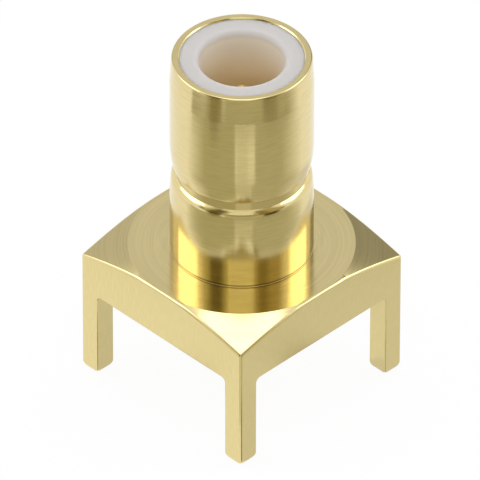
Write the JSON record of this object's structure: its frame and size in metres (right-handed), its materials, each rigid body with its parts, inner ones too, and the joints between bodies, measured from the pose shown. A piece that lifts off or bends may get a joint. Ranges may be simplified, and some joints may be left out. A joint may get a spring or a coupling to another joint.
{
  "type": "rf coaxial connector",
  "caption": "Straight push-on coaxial jack for a circuit board: gold-plated turned barrel with a snap groove on a square flange with corner legs, white insulator and centre pin.",
  "frame": {"origin": "centre of the flange face that sits on the board, on the mating axis", "axes": "+Z along the mating axis, away from the board; X and Y square to the sides of the flange"},
  "size_m": [0.0058, 0.0058, 0.0102],
  "materials": {
    "body": "gold-plated brass, turned and milled, satin",
    "insulator": "white fluoropolymer, turned, slightly translucent",
    "contact": "gold-plated brass, turned, bright"
  },
  "bodies": {
    "root": {"body": "body", "insulator": "insulator", "centre_contact": "contact"}
  },
  "joints": []
}
